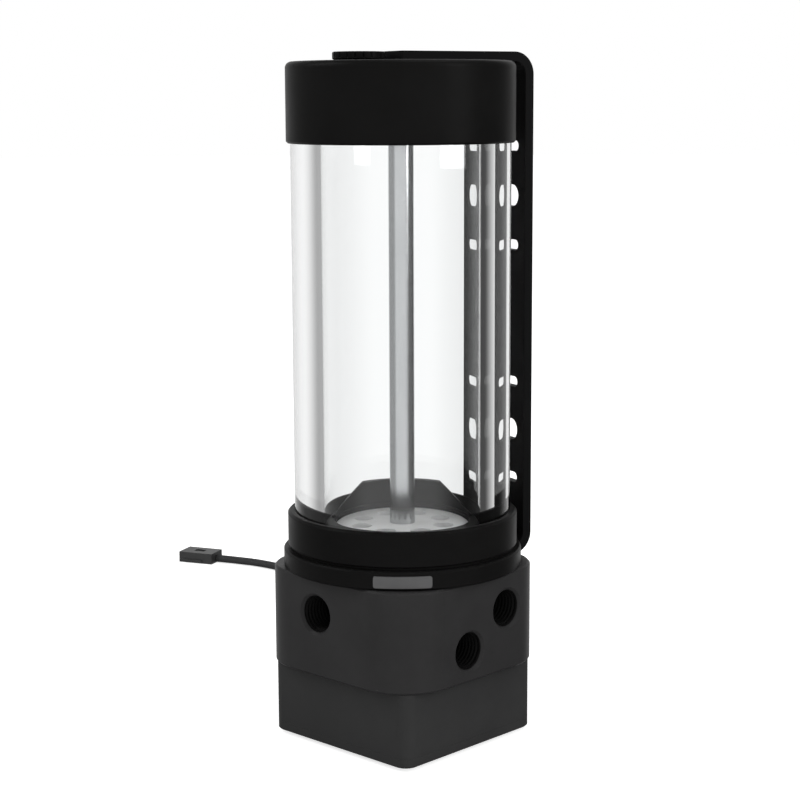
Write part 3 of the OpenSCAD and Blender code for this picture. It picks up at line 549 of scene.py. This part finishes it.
materials = {name: makeFinish(name, f) for name, f in finishes.items()}


def makeAcrylic():
    # clear cast acrylic: full transmission, with faint patches in its gloss from the handling marks
    material = bpy.data.materials.new("clearAcrylic")
    material.use_nodes = True
    tree = material.node_tree
    shader = tree.nodes["Principled BSDF"]
    shader.inputs["Base Color"].default_value = (0.985, 0.992, 0.992, 1)
    shader.inputs["Transmission Weight"].default_value = 1.0
    shader.inputs["IOR"].default_value = 1.49
    marks = placeGroup(tree, "smudge", {"Scale": 30.0, "Contrast": 2.0})
    gloss = tree.nodes.new("ShaderNodeMapRange")
    gloss.inputs["To Min"].default_value, gloss.inputs["To Max"].default_value = 0.0, 0.02
    tree.links.new(marks, gloss.inputs["Value"])
    tree.links.new(gloss.outputs[0], shader.inputs["Roughness"])
    return material


def makeSleeve():
    # woven sleeve: two sets of diagonal strands from the piece's UV map, over and under each other
    material = bpy.data.materials.new("wovenSleeve")
    material.use_nodes = True
    tree = material.node_tree
    shader = tree.nodes["Principled BSDF"]
    uv = tree.nodes.new("ShaderNodeUVMap")
    uv.uv_map = "sleeve"
    split = tree.nodes.new("ShaderNodeSeparateXYZ")
    tree.links.new(uv.outputs[0], split.inputs[0])
    strands = 10
    u = mathNode(tree, "MULTIPLY", split.outputs[0], strands * math.pi * 2)
    v = mathNode(tree, "MULTIPLY", split.outputs[1], strands * math.pi * 2)
    one = mathNode(tree, "SINE", mathNode(tree, "ADD", u, v))
    two = mathNode(tree, "SINE", mathNode(tree, "SUBTRACT", u, v))
    weave = mathNode(tree, "MAXIMUM", one, two)
    height = mathNode(tree, "ADD", mathNode(tree, "MULTIPLY", weave, 0.5), 0.5, clamp=True)
    # painted shade and painted sheen: the colour follows the weave's height, darker in the hollows between strands and
    # lighter on the strands' tops, over the bump of the same weave
    color = mixColors(tree, height, (0.004, 0.004, 0.004), (0.022, 0.022, 0.023))
    tree.links.new(color, shader.inputs["Base Color"])
    shader.inputs["Roughness"].default_value = 0.55
    bump = tree.nodes.new("ShaderNodeBump")
    bump.inputs["Distance"].default_value = 0.12 * mm
    tree.links.new(height, bump.inputs["Height"])
    tree.links.new(bump.outputs[0], shader.inputs["Normal"])
    return material


materials["clearAcrylic"] = makeAcrylic()
materials["wovenSleeve"] = makeSleeve()

finishOf = {
    "acetalTop": ["pump_top"],
    "acetalTurned": ["cap", "base_flange", "collar", "flow_deflector"],
    "housing": ["pump_housing", "bottom_plate"],
    "powderCoat": ["bracket"],
    "rod": ["tie_rod"],
    "inletPlate": ["inlet_plate"],
    "blackScrew": ["bracket_arm_screws", "bracket_foot_screws", "flange_screws"],
    "zincScrew": ["housing_screws", "tie_rod_screw"],
    "rubber": ["pump_oring", "flange_oring", "spigot_oring", "cap_oring", "fill_plug_oring", "tube_gasket",
               "lead_relief"],
    "footPad": ["base_pad"],
    "board": ["circuit_board"],
    "chips": ["board_parts"],
    "coreSteel": ["stator_core"],
    "copper": ["stator_coils"],
    "canPlastic": ["pump_can"],
    "ceramic": ["rotor_shaft"],
    "carbon": ["rotor_bush"],
    "ferrite": ["rotor_magnet"],
    "impellerPlastic": ["impeller"],
    "connector": ["lead_connector"],
    "contacts": ["connector_sockets"],
}


def dress(obj, material):
    if not obj.material_slots:
        obj.data.materials.append(None)
    for slot in obj.material_slots:
        slot.link = "OBJECT"
        slot.material = material


for name, members in finishOf.items():
    for member in members:
        dress(nodes[member], materials[name])
for piece, name in [(leadPiece, "wovenSleeve"), (tubePiece, "clearAcrylic"), (plugPiece, "acetalTurned"),
                    (platePiece, "flangePlate")] + [(p, "acetalTurned") for p in portPieces]:
    dress(piece, materials[name])
print("finishes placed")

studio = {
    "floorRadius": 6.0,
    "floorGlow": 0.72,  # share of white that the floor shows by itself to the camera
    "floorColor": 0.8,
    "ambient": 0.5,
    # how bright gloss sees the room behind the object, at its sides, at the camera's left and on the
    # camera's side, and how bright clear plastic alone sees it behind and at the sides
    "back": 1.0,
    "side": 0.07,
    "left": 0.4,
    "front": 0.95,
    "clearBack": 1.0,
    "clearSide": 0.9,
    "lamps": [
        {"name": "keyLamp", "place": (-0.75, -0.75, 0.95), "aim": (0, 0, 0.1), "size": (0.5, 0.8), "power": 5.0},
        {"name": "sideLamp", "place": (1.05, 0.25, 0.55), "aim": (0, 0, 0.09), "size": (0.4, 0.9), "power": 5.0},
        {"name": "topLamp", "place": (0.1, 0.3, 1.3), "aim": (0, 0, 0.15), "size": (0.8, 0.8), "power": 4.0},
    ],
}


def ramp(tree, value, low, high):
    # 0 below low, 1 above high and a smooth step between them
    node = tree.nodes.new("ShaderNodeMapRange")
    node.interpolation_type = "SMOOTHSTEP"
    node.inputs["From Min"].default_value, node.inputs["From Max"].default_value = low, high
    tree.links.new(value, node.inputs["Value"])
    return node.outputs[0]


def roomGlow(tree, way, rays, s, toward=1.0):
    # how bright the room is along a direction: a ray that has met gloss sees side + the sum of
    # (part - side) x a smooth step of how far the direction turns towards that part of the room, and one
    # that has only come through clear plastic sees clearSide + (clearBack - clearSide) x an early such step
    a = math.radians(camera["polarAngle"])

    def turn(x, y):
        dot = tree.nodes.new("ShaderNodeVectorMath")
        dot.operation = "DOT_PRODUCT"
        dot.inputs[1].default_value = (toward * x, toward * y, 0.0)
        tree.links.new(way, dot.inputs[0])
        return dot.outputs["Value"]

    def share(value, low, high, top, base):
        return mathNode(tree, "MULTIPLY", ramp(tree, value, low, high), top - base)

    behind, before = turn(-math.cos(a), -math.sin(a)), turn(math.cos(a), math.sin(a))
    left = turn(math.sin(a), -math.cos(a))
    gloss = mathNode(tree, "ADD", share(behind, 0.55, 0.95, s["back"], s["side"]), s["side"])
    gloss = mathNode(tree, "ADD", gloss, share(before, 0.3, 0.85, s["front"], s["side"]))
    gloss = mathNode(tree, "ADD", gloss, share(left, 0.45, 0.9, s["left"], s["side"]))
    clear = mathNode(tree, "ADD", share(behind, -0.1, 0.45, s["clearBack"], s["clearSide"]), s["clearSide"])
    hasMet = mathNode(tree, "MINIMUM", rays.outputs["Glossy Depth"], 1.0)
    metPart = mathNode(tree, "MULTIPLY", gloss, hasMet)
    return mathNode(tree, "ADD", metPart, mathNode(tree, "MULTIPLY", clear, mathNode(tree, "SUBTRACT", 1.0, hasMet)))


def makeFloor(s):
    # white with soft shadows to the camera, matt to soft light, and part of the room to all other rays
    a = np.linspace(0, 2 * np.pi, 64, endpoint=False)
    r = np.array([0.0001, 1.0, s["floorRadius"]])[:, None]
    points = np.stack([r * np.cos(a), r * np.sin(a), 0 * r * a], axis=-1)
    mesh = bpy.data.meshes.new("studioFloor")
    mesh.from_pydata(points.reshape(-1, 3).tolist(), [], gridFaces(3, 64).tolist())
    floor = bpy.data.objects.new("studioFloor", mesh)
    floor.location.z = -0.0002
    bpy.context.scene.collection.objects.link(floor)
    material = bpy.data.materials.new("paleFloor")
    material.use_nodes = True
    tree = material.node_tree
    tree.nodes.clear()
    rays = tree.nodes.new("ShaderNodeLightPath")
    shape = tree.nodes.new("ShaderNodeNewGeometry")
    room = tree.nodes.new("ShaderNodeEmission")
    tree.links.new(roomGlow(tree, shape.outputs["Incoming"], rays, s, toward=-1.0), room.inputs["Strength"])
    glow = tree.nodes.new("ShaderNodeEmission")
    tree.links.new(mathNode(tree, "MULTIPLY", rays.outputs["Is Camera Ray"], s["floorGlow"]), glow.inputs["Strength"])
    matt = tree.nodes.new("ShaderNodeBsdfDiffuse")
    matt.inputs["Color"].default_value = (s["floorColor"],) * 3 + (1,)
    shown = tree.nodes.new("ShaderNodeAddShader")
    choice = tree.nodes.new("ShaderNodeMixShader")
    out = tree.nodes.new("ShaderNodeOutputMaterial")
    tree.links.new(glow.outputs[0], shown.inputs[0])
    tree.links.new(matt.outputs[0], shown.inputs[1])
    tree.links.new(mathNode(tree, "MAXIMUM", rays.outputs["Is Camera Ray"], rays.outputs["Is Diffuse Ray"]),
                   choice.inputs[0])
    tree.links.new(room.outputs[0], choice.inputs[1])
    tree.links.new(shown.outputs[0], choice.inputs[2])
    tree.links.new(choice.outputs[0], out.inputs["Surface"])
    mesh.materials.append(material)


def makeWorld(s):
    # white to the camera, even for soft light and the room's brightness to all other rays
    world = bpy.data.worlds.new("studioWorld")
    bpy.context.scene.world = world
    world.use_nodes = True
    tree = world.node_tree
    tree.nodes.clear()
    rays = tree.nodes.new("ShaderNodeLightPath")
    room = roomGlow(tree, tree.nodes.new("ShaderNodeTexCoord").outputs["Generated"], rays, s)
    diffuse = rays.outputs["Is Diffuse Ray"]
    shown = mathNode(tree, "MULTIPLY", room, mathNode(tree, "SUBTRACT", 1.0, diffuse))
    total = mathNode(tree, "ADD", shown, mathNode(tree, "MULTIPLY", diffuse, s["ambient"]))
    light = tree.nodes.new("ShaderNodeBackground")
    tree.links.new(mathNode(tree, "MAXIMUM", total, rays.outputs["Is Camera Ray"]), light.inputs["Strength"])
    light.inputs["Color"].default_value = (1, 1, 1, 1)
    out = tree.nodes.new("ShaderNodeOutputWorld")
    tree.links.new(light.outputs[0], out.inputs["Surface"])


def makeLamp(l):
    data = bpy.data.lights.new(l["name"], "AREA")
    data.shape = "RECTANGLE"
    data.size, data.size_y = l["size"]
    data.energy = l["power"]
    lamp = bpy.data.objects.new(l["name"], data)
    bpy.context.scene.collection.objects.link(lamp)
    lamp.location = l["place"]
    lamp.rotation_euler = (Vector(l["aim"]) - Vector(l["place"])).to_track_quat("-Z", "Y").to_euler()


makeFloor(studio)
makeWorld(studio)
for lamp in studio["lamps"]:
    makeLamp(lamp)
bpy.context.scene.view_settings.view_transform = "Standard"
print("studio ready")
